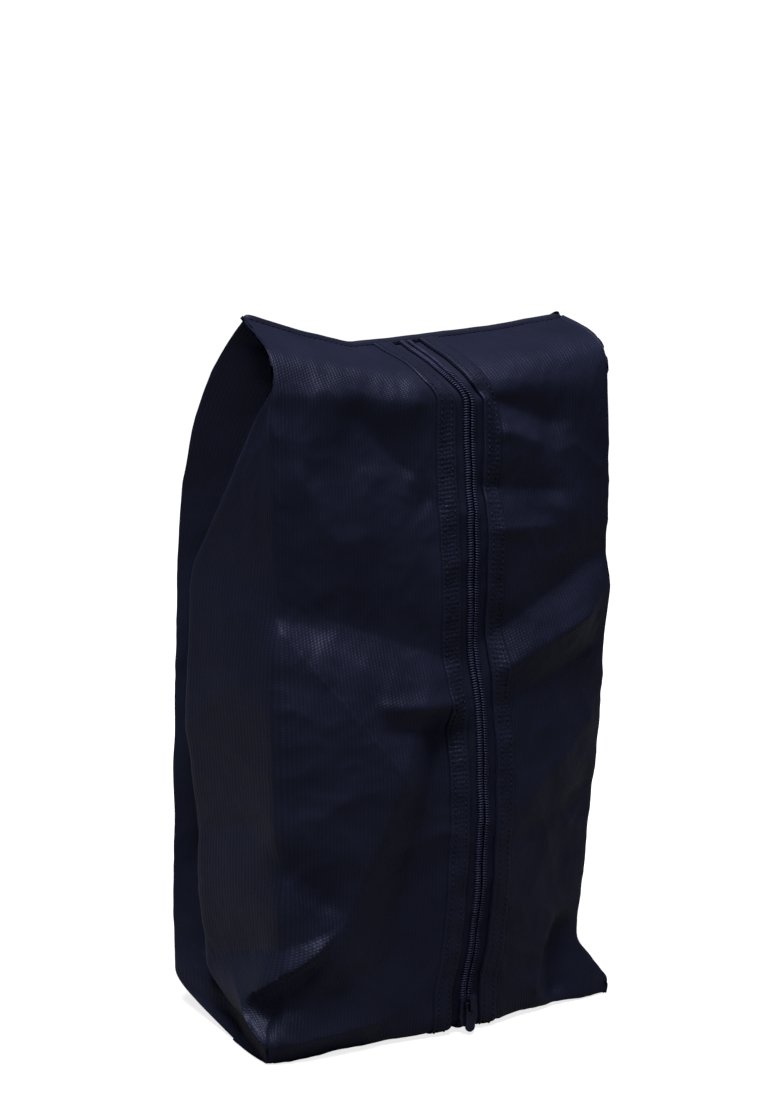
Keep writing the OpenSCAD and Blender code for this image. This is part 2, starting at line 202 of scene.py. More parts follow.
# ---------------------------------------------------------------- folds
# Lines on the cloth from (u, z) to (u, z), where u is x on the front and goes on round the creases as a
# length. Each has an outward lift, negative for a hollow, and its reach above and below the line.
FOLDS = [
    (-60, 209, -8, 189, -5.6, 42, 17),      # hollow above the long fold on the left
    (-92, 214, -76, 208, -1.6, 8, 5),
    (-66, 196, -40, 184, 1.4, 7, 8),
    (-42, 171, -9, 168, 3.2, 4.5, 4),
    (-32, 160, -9, 157, -2.8, 5, 13),
    (-78, 194, -36, 140, 2.8, 9, 40),       # edges of the flat facet beside the left crease
    (-34, 140, -62, 66, 4.6, 46, 11),
    (-15, 146, -36, 52, -4.2, 9, 18),
    (-86, 92, -72, 80, -3.6, 12, 10),
    (-50, 306, -17, 270, -4.4, 10, 10),     # dark streak under the left shoulder
    (-24, 276, -13, 268, 2.0, 5, 5),
    (-90, 318, -25, 312, 1.4, 9, 8),
    (-92, 300, -60, 240, 1.6, 10, 14),
    (16, 314, 58, 300, -3.6, 9, 9),         # pocket and pulls under the right shoulder
    (28, 296, 44, 291, 2.6, 5, 5),
    (20, 270, 55, 266, -3.8, 12, 8),
    (24, 251, 50, 250, 2.0, 3.5, 7),
    (26, 185, 72, 202, 2.8, 5, 9),          # long fold on the right
    (68, 200, 84, 209, 1.3, 5, 8),
    (30, 203, 84, 227, -3.4, 18, 8),
    (28, 168, 86, 186, -1.7, 8, 14),
    (40, 120, 84, 150, 1.6, 10, 10),
    (30, 96, 80, 112, -1.6, 9, 9),
    (-132, 38, -78, 61, -2.8, 14, 6),       # two lit facets that wrap the foot of the left crease
    (-116, 18, -78, 53, 4.4, 14, 3),
    (-112, 12, -76, 47, -2.6, 3, 7),
    (-100, 24, -64, 32, -1.8, 6, 8),
    (-106, 9, -54, 13, 3.6, 13, 5),
    (66, 12, 68, 40, -4.6, 9, 9),           # pinch above the right front corner
    (52, 16, 58, 44, 1.8, 6, 6),
    (-170, 120, -110, 180, 1.6, 14, 12),
    (-165, 80, -110, 110, -1.6, 14, 10),
]
FOLD_GAIN = 1.45         # scales every lift in the list
CREST_ROUND = 2.0        # half the width over which a crest is rounded
FOLD_FALL = 1.25         # power of the fall-off away from a crest


def fold_lift(u, z):
    """Outward lift of all the folds at (u, z)."""
    total = np.zeros_like(u)
    for u0, z0, u1, z1, lift, above, below in FOLDS:
        length = math.hypot(u1 - u0, z1 - z0)
        du, dz = (u1 - u0) / length, (z1 - z0) / length
        side = 1.0 if du > 0 else -1.0
        along = (u - u0) * du + (z - z0) * dz
        across = side * ((z - z0) * du - (u - u0) * dz)
        reach = np.sqrt(across**2 + CREST_ROUND**2) / np.where(across > 0, above, below)
        past = np.maximum(0, np.maximum(-along, along - length)) / max(above, below)
        total += FOLD_GAIN * lift * np.exp(-reach**FOLD_FALL - past**2)
    return total


# ---------------------------------------------------------------- the skin
def shares(count):
    """Even steps from 0 to 1, without the first, for one stretch of columns."""
    return np.linspace(0, 1, count + 1)[1:]


def sink_to_seam(p):
    """Lets the roof sag so that front and back meet along one curved top seam."""
    target = np.interp(p[-1, :, 0], SEAM_X, SEAM_Z)
    p[..., 2] += ROOF_SINK[:, None] * (target - p[-1, :, 2])[None, :]


def front_columns(crease):
    """Front cloth from the zip's centre to a crease, swollen forward between the two."""
    width = np.linalg.norm(crease - ZIP_LINE, axis=1)[:, None]
    near = np.arange(NEAR_ZIP + 1)[None, :] / width
    far = near[:, -1:] + (1 - near[:, -1:]) * shares(FAR_COLS)[None, :]
    share = np.concatenate([near, far], axis=1)
    w = share[..., None]
    p = ZIP_LINE[:, None, :] * (1 - w) + crease[:, None, :] * w
    p[..., 1] -= share * (1 - share) * FRONT_SWELL[:, None]
    sink_to_seam(p)
    return p


def between(a, b, count):
    """Columns on straight lines from line a to line b, without a itself."""
    w = shares(count)[None, :, None]
    return a[:, None, :] * (1 - w) + b[:, None, :] * w


left = front_columns(LEFT_CREASE)
right = front_columns(RIGHT_CREASE)
FRONT_COLS = left.shape[1]
back = between(BACK_LEFT, BACK_RIGHT, BACK_COLS)
back[..., 1] += np.sin(np.pi * shares(BACK_COLS))[None, :] * BACK_SWELL[:, None]
sink_to_seam(back)
skin = np.concatenate([
    left,
    between(LEFT_CREASE, LEFT_RIDGE, LEAF_COLS),
    between(LEFT_RIDGE, LEFT_GROOVE, HOLLOW_COLS),
    between(LEFT_GROOVE, BACK_LEFT, SIDE_COLS),
    back,
    between(BACK_RIGHT, RIGHT_GROOVE, SIDE_COLS),
    between(RIGHT_GROOVE, RIGHT_RIDGE, HOLLOW_COLS),
    between(RIGHT_RIDGE, RIGHT_CREASE, LEAF_COLS)[:, :-1],
    right[:, ::-1],
], axis=1)
GUSSET_COLS = LEAF_COLS + HOLLOW_COLS + SIDE_COLS
LEFT_EDGE = FRONT_COLS - 1                      # column of the front-left crease
BACK_START = LEFT_EDGE + GUSSET_COLS            # column of the back-left crease
BACK_END = BACK_START + BACK_COLS               # column of the back-right crease
RIGHT_EDGE = BACK_END + GUSSET_COLS             # column of the front-right crease
LAST_COL = skin.shape[1] - 1

CREASE_PASSES, ROW_PASSES = 5, 3    # smoothing across the creases and up the rows
FOOT_PASSES = 40        # the left crease is much rounder at its foot
FOOT_TOP = (45, 80)     # heights between which it sharpens
FOOT_COLS = 16          # columns over which that roundness fades
skin = soften(soften(skin, CREASE_PASSES, 1), ROW_PASSES, 0)
at_foot = 1 - smoothstep(skin[:, LEFT_EDGE, 2], *FOOT_TOP)
beside = np.exp(-((np.arange(LAST_COL + 1) - LEFT_EDGE) / FOOT_COLS)**2)
soft_foot = (at_foot[:, None] * beside[None, :])[..., None]
skin = skin * (1 - soft_foot) + soften(skin, FOOT_PASSES, 1) * soft_foot

# Lengths round the bag and up it, for cloth patterns, and u, which the folds are drawn in.
flat_u = np.concatenate([[0], np.cumsum(np.linalg.norm(np.diff(skin, axis=1), axis=2).mean(0))])
flat_v = np.concatenate([[0], np.cumsum(np.linalg.norm(np.diff(skin, axis=0), axis=2).mean(1))])

BACK_MIDDLE = (BACK_START + BACK_END) // 2
u = skin[..., 0].copy()
left_side = slice(LEFT_EDGE, BACK_MIDDLE)
right_side = slice(BACK_MIDDLE, RIGHT_EDGE)
u[:, left_side] = LEFT_CREASE[:, :1] - (flat_u[left_side] - flat_u[LEFT_EDGE])[None, :]
u[:, right_side] = RIGHT_CREASE[:, :1] + (flat_u[RIGHT_EDGE] - flat_u[right_side])[None, :]
height = skin[..., 2]

CRUMPLED = 1.1, 42, 3.1     # height, size and seed of the broad crumples
PRESSED = (1.0, 24, 7.7), (0.35, 10, 1.3)   # the same for two sizes of pressed ridges
OFF_FRONT = 0.45        # share of the crumples that the gussets and back have
OFF_FRONT_PASSES = 30   # smoothing of that share across the creases
FLOOR_GAP = 0.05        # the outer face stays this far above the floor


def crumples():
    """Outward lift of the noise that covers all the cloth."""
    gain, size, seed = CRUMPLED
    total = gain * crumple(u, height, size, seed)
    for gain, size, seed in PRESSED:
        total = total + gain * ridged(u, height, size, seed)
    share = np.ones(LAST_COL + 1)
    share[LEFT_EDGE:RIGHT_EDGE] = OFF_FRONT
    return total * soften(share, OFF_FRONT_PASSES, 0)[None, :]


def slider_room():
    """One beside the zip where the slider stops, low and high, and zero elsewhere."""
    low_stop = 1 - smoothstep(height, 20, 32)
    high_stop = smoothstep(height, 280, 294) * (1 - smoothstep(height, 311, 319))
    by_zip = 1 - smoothstep(np.abs(u - ZIP_LINE[:, :1]), 8, 15)
    return (low_stop + high_stop) * by_zip


wall_weight = rows_from([0, 0.9, 1.02, 1.94, 2.1, 3], [0.15, 0.3, 1, 1, 0.45, 0.25])[:, None]
lift = (fold_lift(u, height) + crumples()) * (1 - slider_room()) * wall_weight
skin = skin + grid_normals(skin) * lift[..., None]
skin[..., 2] = np.maximum(skin[..., 2], FLOOR_GAP)
skin_n = grid_normals(skin)


# ---------------------------------------------------------------- meshes
def finish_piece(name, verts, faces, normals, uvs, look):
    """A mesh object from millimetre arrays, shaded smooth with the given point normals."""
    mesh = bpy.data.meshes.new(name)
    mesh.from_pydata((np.asarray(verts) * MM).tolist(), [], faces)
    mesh.update()
    mesh.polygons.foreach_set("use_smooth", [True] * len(mesh.polygons))
    if uvs is not None:
        layer = mesh.uv_layers.new(name="cloth")
        loops = np.empty(len(mesh.loops), np.int32)
        mesh.loops.foreach_get("vertex_index", loops)
        layer.data.foreach_set("uv", np.asarray(uvs)[loops].ravel())
    if normals is not None:
        mesh.normals_split_custom_set_from_vertices(np.asarray(normals).tolist())
    mesh.materials.append(bpy.data.materials[look])
    obj = bpy.data.objects.new(name, mesh)
    bpy.context.scene.collection.objects.link(obj)
    return obj


def sheet(name, rows, cols, inset=0.0, shape=None):
    """A closed sheet of nylon from part of the skin: outer face, inner face and edges.

    inset moves it inward, by column or by row and column. shape changes its points before that."""
    p, n = skin[rows, cols], skin_n[rows, cols]
    if shape is not None:
        p = shape(p)
    p = p - n * np.atleast_2d(inset)[..., None]
    count_r, count_c = p.shape[:2]
    uv = np.stack(np.meshgrid(flat_u[cols], flat_v[rows]), axis=-1) * MM
    size = count_r * count_c
    index = np.arange(size).reshape(count_r, count_c)
    a, b = index[:-1, :-1].ravel(), index[1:, :-1].ravel()
    c, d = index[1:, 1:].ravel(), index[:-1, 1:].ravel()
    faces = np.stack([a, b, c, d], 1).tolist() + (np.stack([d, c, b, a], 1) + size).tolist()
    rim = np.concatenate([index[0, :-1], index[:-1, -1], index[-1, :0:-1], index[:0:-1, 0]])
    nxt = np.roll(rim, -1)
    faces += np.stack([rim, nxt, nxt + size, rim + size], 1).tolist()
    verts = np.concatenate([p.reshape(-1, 3), (p - n * CLOTH_T).reshape(-1, 3)])
    normals = np.concatenate([n.reshape(-1, 3), -n.reshape(-1, 3)])
    uvs = np.concatenate([uv.reshape(-1, 2)] * 2)
    return finish_piece(name, verts, faces, normals, uvs, "ribbed_nylon")


def tube(rings, start):
    """Vertices, side faces and end caps of a tube through rings of points (ring, point, 3)."""
    count_r, count_k = rings.shape[:2]
    index = np.arange(count_r * count_k).reshape(count_r, count_k) + start
    nxt = np.roll(index, -1, axis=1)
    faces = np.stack([index[:-1].ravel(), nxt[:-1].ravel(), nxt[1:].ravel(), index[1:].ravel()], 1).tolist()
    caps = [index[0, ::-1].tolist(), index[-1].tolist()]
    return rings.reshape(-1, 3), faces, caps


class FrontSide:
    """Reads points beside the zip off the finished skin, on one side of it."""

    def __init__(self, side):
        self.side = side
        cols = slice(0, NEAR_ZIP + 1) if side < 0 else slice(LAST_COL - NEAR_ZIP, LAST_COL + 1)
        self.p, self.n = skin[:, cols], skin_n[:, cols]
        if side > 0:
            self.p, self.n = self.p[:, ::-1], self.n[:, ::-1]
        zip_steps = np.linalg.norm(np.diff(self.p[:, 0], axis=0), axis=1)
        self.reach = np.concatenate([[0], np.cumsum(zip_steps)])

    def length_at(self, t):
        """Distance along the zip of a row parameter."""
        return float(np.interp(t, T_ROWS, self.reach))

    def read(self, s, d):
        """Points and normals at distances s along the zip and d away from its centre."""
        s, d = np.broadcast_arrays(s, d)
        r = np.interp(s, self.reach, np.arange(len(T_ROWS)))
        r0 = np.clip(r.astype(int), 0, len(T_ROWS) - 2)
        d0 = np.clip(d.astype(int), 0, NEAR_ZIP - 1)
        fr, fd = (r - r0)[..., None], (d - d0)[..., None]
        out = []
        for g in (self.p, self.n):
            low = g[r0, d0] * (1 - fd) + g[r0, d0 + 1] * fd
            high = g[r0 + 1, d0] * (1 - fd) + g[r0 + 1, d0 + 1] * fd
            out.append(low * (1 - fr) + high * fr)
        return out[0], unit(out[1])


SIDES = {"left": FrontSide(-1), "right": FrontSide(1)}


def swept(side, s, profile, bump=None):
    """Rings of a strip beside the zip: profile is a list of (distance, height) round its section."""
    d = np.array([q[0] for q in profile])[None, :]
    h = np.array([q[1] for q in profile])[None, :]
    grid_s = s[:, None] + 0 * d
    p, n = side.read(grid_s, d + 0 * grid_s)
    if bump is not None:
        h = h + bump(side, grid_s, d + 0 * grid_s)
    rings = p + n * (h + 0 * grid_s)[..., None]
    return rings[:, ::-1] if side.side > 0 else rings


# ---------------------------------------------------------------- materials
class Nodes:
    """Builds one material's node tree with short calls."""

    def __init__(self, name):
        self.mat = bpy.data.materials.new(name)
        self.mat.use_nodes = True
        self.tree = self.mat.node_tree
        self.shader = self.tree.nodes["Principled BSDF"]

    def add(self, kind, **values):
        node = self.tree.nodes.new(kind)
        for key, value in values.items():
            if hasattr(node, key):
                setattr(node, key, value)
            else:
                node.inputs[key.replace("_", " ")].default_value = value
        return node

    def join(self, out, into):
        self.tree.links.new(out, into)

    def coords(self, source, scale, turn=0.0):
        """Texture coordinates, scaled on each axis and turned about the last."""
        coord = self.add("ShaderNodeTexCoord")
        mapping = self.add("ShaderNodeMapping")
        mapping.inputs["Scale"].default_value = scale
        mapping.inputs["Rotation"].default_value = (0, 0, turn)
        self.join(coord.outputs[source], mapping.inputs["Vector"])
        return mapping.outputs["Vector"]

    def noise(self, vector, scale, detail=3.0, rough=0.5):
        tex = self.add("ShaderNodeTexNoise")
        tex.inputs["Scale"].default_value = scale
        tex.inputs["Detail"].default_value = detail
        tex.inputs["Roughness"].default_value = rough
        self.join(vector, tex.inputs["Vector"])
        return tex.outputs["Fac"]

    def wave(self, vector, scale, direction, distortion=0.0, detail_scale=1.0):
        tex = self.add("ShaderNodeTexWave", bands_direction=direction)
        tex.inputs["Scale"].default_value = scale
        tex.inputs["Distortion"].default_value = distortion
        tex.inputs["Detail Scale"].default_value = detail_scale
        self.join(vector, tex.inputs["Vector"])
        return tex.outputs["Fac"]

    def math(self, op, a, b):
        node = self.add("ShaderNodeMath", operation=op)
        for value, socket in ((a, node.inputs[0]), (b, node.inputs[1])):
            if hasattr(value, "is_linked"):
                self.join(value, socket)
            else:
                socket.default_value = value
        return node.outputs[0]

    def ramp(self, fac, stops):
        node = self.add("ShaderNodeValToRGB")
        elements = node.color_ramp.elements
        while len(elements) < len(stops):
            elements.new(0.5)
        for element, (at, colour) in zip(elements, stops):
            element.position = at
            element.color = (*colour, 1)
        self.join(fac, node.inputs["Fac"])
        return node.outputs["Color"]

    def bump(self, heights):
        """Chains (height socket, distance in metres, strength) into the shader's normal."""
        last = None
        for socket, distance, strength in heights:
            node = self.add("ShaderNodeBump")
            node.inputs["Distance"].default_value = distance
            node.inputs["Strength"].default_value = strength
            self.join(socket, node.inputs["Height"])
            if last is not None:
                self.join(last, node.inputs["Normal"])
            last = node.outputs["Normal"]
        self.join(last, self.shader.inputs["Normal"])

    def surface(self, colour, roughness, **inputs):
        self.join(colour, self.shader.inputs["Base Color"])
        if hasattr(roughness, "is_linked"):
            self.join(roughness, self.shader.inputs["Roughness"])
        else:
            self.shader.inputs["Roughness"].default_value = roughness
        for key, value in inputs.items():
            self.shader.inputs[key.replace("_", " ")].default_value = value


def srgb(*values):
    """Linear colour from 0-255 sRGB values."""
    return tuple((v / 255 / 12.92) if v <= 10 else ((v / 255 + 0.055) / 1.055)**2.4 for v in values)


NAVY_DARK = srgb(16, 18, 31)
NAVY_LIGHT = srgb(32, 35, 56)
COOL_SHINE = srgb(205, 212, 255)    # reflections are a little blue


def wave_scale(pitch):
    """Scale at which Blender's wave texture repeats once every pitch, in metres."""
    return math.pi / pitch / 10


def woven(name, rib_pitch, dark, light, roughness, rib_depth):
    """Ribbed nylon: upright ribs broken into dots and short streaks, with a slow drift of colour."""
    m = Nodes(name)
    cloth = m.coords("UV", (1, 1, 1))
    drift = m.noise(cloth, 28, 4)
    streaks = m.noise(m.coords("UV", (900, 260, 1)), 1, 2, 0.6)
    slant = m.coords("UV", (1, 1, 1), turn=0.35)
    ribs = m.wave(cloth, wave_scale(rib_pitch), "X", 0.8, 2)
    weft = m.wave(slant, wave_scale(rib_pitch * 0.7), "Y", 0.8, 2)
    dots = m.math("MULTIPLY", ribs, m.math("ADD", 0.25, m.math("MULTIPLY", weft, streaks)))
    tone = m.math("ADD", m.math("MULTIPLY", drift, 0.7), m.math("MULTIPLY", dots, 0.45))
    colour = m.ramp(tone, [(0.15, dark), (0.85, light)])
    rough = m.math("ADD", roughness - 0.1, m.math("MULTIPLY", m.math("ADD", drift, streaks), 0.1))
    m.surface(colour, rough, Sheen_Weight=0.08, Sheen_Roughness=0.4, Specular_IOR_Level=0.26)
    m.shader.inputs["Sheen Tint"].default_value = (*srgb(90, 98, 160), 1)
    m.shader.inputs["Specular Tint"].default_value = (*COOL_SHINE, 1)
    m.bump([(dots, rib_depth, 0.8), (streaks, rib_depth * 0.8, 0.6)])


def plain(name, dark, light, roughness, metal=0.0, coat=0.0, shine=0.5):
    """Moulded or painted part: fine grain, worn tone and slight roughness change."""
    m = Nodes(name)
    place = m.coords("Object", (1, 1, 1))
    wear = m.noise(place, 160, 4)
    fine = m.noise(place, 900, 3)
    colour = m.ramp(m.math("ADD", m.math("MULTIPLY", wear, 0.6), m.math("MULTIPLY", fine, 0.4)),
                    [(0.3, dark), (0.7, light)])
    rough = m.math("ADD", roughness - 0.08, m.math("MULTIPLY", wear, 0.16))
    m.surface(colour, rough, Metallic=metal, Coat_Weight=coat, Specular_IOR_Level=shine)
    m.shader.inputs["Specular Tint"].default_value = (*COOL_SHINE, 1)
    m.bump([(fine, 0.00005, 0.5)])


def twisted(name, dark, light):
    """Sewing thread with a diagonal twist."""
    m = Nodes(name)
    place = m.coords("Object", (1, 1, 1))
    twist = m.wave(place, 260, "DIAGONAL", 0.5)
    fuzz = m.noise(place, 2500, 2)
    colour = m.ramp(m.math("ADD", m.math("MULTIPLY", twist, 0.6), m.math("MULTIPLY", fuzz, 0.4)),
                    [(0.2, dark), (0.9, light)])
    m.surface(colour, 0.75, Sheen_Weight=0.05, Specular_IOR_Level=0.15)
    m.bump([(twist, 0.0001, 0.8), (fuzz, 0.00005, 0.4)])


woven("ribbed_nylon", 0.0017, NAVY_DARK, NAVY_LIGHT, 0.45, 0.00018)
woven("binding_tape", 0.0011, NAVY_DARK, NAVY_LIGHT, 0.5, 0.00012)
woven("zip_webbing", 0.0009, srgb(15, 17, 30), srgb(28, 31, 50), 0.55, 0.0001)
plain("coil_nylon", srgb(22, 24, 42), srgb(42, 45, 72), 0.5, shine=0.4)
plain("navy_metal", srgb(16, 18, 32), srgb(34, 38, 58), 0.36, metal=0.4, coat=0.2)
twisted("sewing_thread", srgb(12, 14, 25), srgb(24, 27, 44))


# ---------------------------------------------------------------- cloth pieces
SHOULDER_SHARE = 0.97   # the wall pieces end and the roof's start at this share of the wall's rows
ROW_AT = {
    "seam_front": 0,
    "floor": BASE_ROWS,
    "middle": BASE_ROWS + int(round(WALL_ROWS * MID_Z / WALL_H)),
    "shoulder": BASE_ROWS + int(round(WALL_ROWS * SHOULDER_SHARE)),
    "top": len(T_ROWS) - 1,
}
BANDS = {"lower": ("floor", "middle"), "upper": ("middle", "shoulder"), "roof": ("shoulder", "top")}
CLOTH_START = 9         # column beside the zip where the front cloth starts, under the hem


def rows_between(low, high):
    """Rows of the skin from one named row to another, both kept."""
    return slice(ROW_AT[low], ROW_AT[high] + 1)


def point(x, y, z):
    """A place in millimetres as Blender's metres."""
    return Vector((x, y, z)) * MM


def opens_with(obj, band):
    """Bakes a wall piece's placement into its mesh; every band is treated the same."""
    if band == "lower":
        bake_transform(obj)
    else:
        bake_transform(obj)


def folds_with(obj):
    """Bakes the placement of a piece that crosses from the front to the back into its mesh."""
    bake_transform(obj)


LAP_INSET = np.array([1.3, 1.6, 1.6, 1.6])      # depth of each column of front cloth inside the gusset
NARROW_LAP, SHALLOW_LAP = 0.12, 0.25            # shares of the lap's reach and depth where it ends


def front_sheet(side, band):
    """Front cloth of one side.

    On the wall its edge goes on inside the gusset, so that no light shows past an open flap."""
    lap = 0 if band == "roof" else len(LAP_INSET)
    rows = rows_between(*BANDS[band])
    z = skin[rows, LEFT_EDGE, 2]
    full = (smoothstep(z, 45, 75) * (1 - smoothstep(z, 265, 290)))[:, None]
    reach = NARROW_LAP + (1 - NARROW_LAP) * full
    depth = SHALLOW_LAP + (1 - SHALLOW_LAP) * reach
    if side == "left":
        cols = slice(CLOTH_START, LEFT_EDGE + lap + 1)
        crease = LEFT_EDGE - CLOTH_START
        beyond = slice(crease + 1, None)
        inset = np.concatenate([np.zeros(crease + 1), LAP_INSET[:lap]])
    else:
        cols = slice(RIGHT_EDGE - lap, LAST_COL - CLOTH_START + 1)
        crease = lap
        beyond = slice(0, lap)
        inset = np.concatenate([LAP_INSET[:lap][::-1], np.zeros(LAST_COL - CLOTH_START - RIGHT_EDGE + 1)])

    def drawn_in(p):
        p = p.copy()
        at = p[:, crease:crease + 1]
        p[:, beyond] = at + (p[:, beyond] - at) * reach[..., None]
        return p

    return sheet(f"front_{side}_cloth_{band}", rows, cols, inset[None, :] * depth, drawn_in)


for side in ("left", "right"):
    for band in ("lower", "upper"):
        piece = front_sheet(side, band)
        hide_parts(f"front_{side}_panel")
        opens_with(piece, band)
    piece = front_sheet(side, "roof")
    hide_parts("front_top_panel")
    folds_with(piece)

for side, cols in (("left", slice(0, LEFT_EDGE + 1)), ("right", slice(RIGHT_EDGE, LAST_COL + 1))):
    piece = sheet(f"front_base_cloth_{side}", rows_between("seam_front", "floor"), cols)
    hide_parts("front_base_panel")
    folds_with(piece)

SEAM_TUCK = 6           # columns of gusset cloth that lie behind the front
TUCK_DEPTH = 1.1
CREASE_DEPTH = 0.2      # depth of the gusset's column at the crease itself
tuck = np.concatenate([np.full(SEAM_TUCK, TUCK_DEPTH), [CREASE_DEPTH], np.zeros(GUSSET_COLS)])
for side, cols, inset in (("left", slice(LEFT_EDGE - SEAM_TUCK, BACK_START + 1), tuck),
                          ("right", slice(BACK_END, RIGHT_EDGE + SEAM_TUCK + 1), tuck[::-1])):
    piece = sheet(f"{side}_gusset_cloth", slice(0, len(T_ROWS)), cols, inset)
    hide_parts(f"{side}_gusset")
    folds_with(piece)

BACK_TOP_Z = 236        # the back wall ends and its roof starts at this height
BACK_TOP_ROW = int(np.argmax(BACK_LEFT[:, 2] > BACK_TOP_Z))
back_cols = slice(BACK_START, BACK_END + 1)
piece = sheet("back_cloth", slice(BASE_ROWS, BACK_TOP_ROW + 1), back_cols)
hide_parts("back_panel")
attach(piece, "back")
for part, rows in (("back_top", slice(BACK_TOP_ROW, len(T_ROWS))), ("back_base", slice(0, BASE_ROWS + 1))):
    piece = sheet(f"{part}_cloth", rows, back_cols)
    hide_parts(f"{part}_panel")
    folds_with(piece)


# ---------------------------------------------------------------- zip pieces
MIDDLE_T = T_ROWS[ROW_AT["middle"]]
SHOULDER_T = T_ROWS[ROW_AT["shoulder"]]
ZIP_T = {               # row parameters between which each band's zip runs
    "base": (0.62, 1.0),
    "lower": (1.0, MIDDLE_T),
    "upper": (MIDDLE_T, SHOULDER_T),
    "roof": (SHOULDER_T, 3.0),
}
# Sections beside the zip: distance from its centre, and height over the skin.
HEM_SECTION = [(8.2, -0.9), (7.9, -0.1), (8.2, 0.7), (8.8, 0.95), (10.5, 0.9), (12, 0.85), (13.5, 0.85),
               (15, 0.85), (16.5, 0.85), (18.0, 0.8), (18.3, 0.5), (18.4, -0.05), (17.5, -0.3), (9, -0.9)]
TAPE_SECTION = [(1.4, -1.2), (1.8, -1.03), (5, -1.0), (8.8, -1.1), (9.4, -1.2), (9.4, -1.45), (8.8, -1.5),
                (5, -1.45), (1.8, -1.48), (1.4, -1.4)]
TOOTH_PITCH = 1.25
STITCH_PITCH = 2.9
STITCH_LEN = 2.1
STITCH_R = 0.3
STITCH_ROWS = (10.5, 15.9)      # distances of the two rows from the zip's centre
STITCH_H = 0.98         # height of the stitches over the skin, on the hem
STITCH_FAT = np.array([0.45, 0.95, 1, 0.95, 0.45])      # thickness along a stitch, thin where it dives in
SIX_ROUND = np.linspace(0, 2 * np.pi, 7)[:-1]
HEM_STEP, TAPE_STEP = 0.6, 1.5  # distance between two rings of a strip
END_RING = 0.03         # keeps the shading of an end cap off the strip


def span(side, band, pitch):
    """Even distances along the zip across one band, with one more close to each end."""
    low, high = (side.length_at(t) for t in ZIP_T[band])
    even = np.linspace(low, high, max(3, int(round((high - low) / pitch)) + 1))
    return np.concatenate([[low, low + END_RING], even[1:-1], [high - END_RING, high]])


def hem_pucker(side, s, d):
    """Small gathers across the hem on the wall, deepest between its stitches, fainter on the right."""
    inside = smoothstep(d, 8.4, 11) * (1 - smoothstep(d, 16.4, 18.4))
    on_wall = (0.25 + 0.75 * smoothstep(s, 120, 190)) * (1 - smoothstep(s, 340, 358))
    wander = 2.4 * crumple(s, d, 8, 21.5)
    wave = np.sin(2 * np.pi * s / 2.1 + wander + 0.3 * (d - 13))
    gain = 1.0 if side.side < 0 else 0.65
    rough = 0.2 * crumple(s, d, 1.9, 4.4) + 0.12 * crumple(s, d, 6, 9.1)
    return gain * inside * on_wall * (0.24 * wave + rough)


def round_rings(centre, n, size, wide=1.0):
    """Six-sided rings round a line of points, where n is the cloth's normal at each."""
    forward = unit(np.gradient(centre, axis=0))
    across = unit(np.cross(n, forward))
    up = np.cross(forward, across)
    ring = (across[:, None, :] * np.cos(SIX_ROUND)[None, :, None] * wide
            + up[:, None, :] * np.sin(SIX_ROUND)[None, :, None])
    return centre[:, None, :] + ring * size[:, None, None]


def tooth(side, s):
    """One coil element: a rounded loop that reaches from the tape to the middle of the chain."""
    d_at = np.array([3.25, 3.08, 2.4, 1.4, 0.78, 0.64])
    h_at = np.array([-0.9, -0.1, 0.3, 0.42, 0.2, -0.5])
    lean = np.linspace(-0.25, 0.25, len(d_at))
    p, n = side.read(s + lean, d_at)
    size = np.array([0.3, 0.44, 0.5, 0.51, 0.46, 0.28])
    return round_rings(p + n * h_at[:, None], n, size, wide=0.95)


def hem_stitch(side, s, d):
    """One stitch lying along the zip."""
    at = np.linspace(-0.5, 0.5, len(STITCH_FAT)) * STITCH_LEN
    sag = np.array([-0.35, 0.0, 0.12, 0.0, -0.35])
    p, n = side.read(s + at, np.full(len(STITCH_FAT), d))
    return round_rings(p + n * (STITCH_H + sag)[:, None], n, STITCH_FAT * STITCH_R)


def tubes_piece(name, tubes, look):
    """One mesh of closed tubes, with cloth coordinates along and around each, and flat ends."""
    verts, sides, caps, uvs, count = [], [], [], [], 0
    for rings in tubes:
        v, side_faces, cap_faces = tube(rings, count)
        along = np.concatenate([[0], np.cumsum(np.linalg.norm(np.diff(rings[:, 0], axis=0), axis=1))])
        around = np.concatenate([[0], np.cumsum(np.linalg.norm(np.diff(rings[0], axis=0), axis=1))])
        uvs.append(np.stack(np.meshgrid(around, along), axis=-1).reshape(-1, 2) * MM)
        verts.append(v)
        sides += side_faces
        caps += cap_faces
        count += len(v)
    obj = finish_piece(name, np.concatenate(verts), sides + caps, None, np.concatenate(uvs), look)
    smooth = [True] * len(sides) + [False] * len(caps)
    obj.data.polygons.foreach_set("use_smooth", smooth)
    face_outward(obj)
    return obj


def face_outward(obj):
    """Turns every face of a closed mesh outward."""
    work = bmesh.new()
    work.from_mesh(obj.data)
    bmesh.ops.recalc_face_normals(work, faces=work.faces)
    work.to_mesh(obj.data)
    work.free()


def teeth(side, band):
    """Every tooth of one side in a band. The right side stands half a pitch higher."""
    shift = 0.0 if side.side < 0 else TOOTH_PITCH / 2
    low, high = (side.length_at(t) for t in ZIP_T[band])
    first = math.ceil((low - shift) / TOOTH_PITCH)
    last = math.ceil((high - shift) / TOOTH_PITCH)
    return [tooth(side, i * TOOTH_PITCH + shift) for i in range(first, last)]


def stitches(side, band):
    """Every stitch of one hem in a band."""
    low, high = (side.length_at(t) for t in ZIP_T[band])
    made = []
    for d in STITCH_ROWS:
        for i in range(math.ceil(low / STITCH_PITCH), math.ceil(high / STITCH_PITCH)):
            made.append(hem_stitch(side, i * STITCH_PITCH, d))
    return made


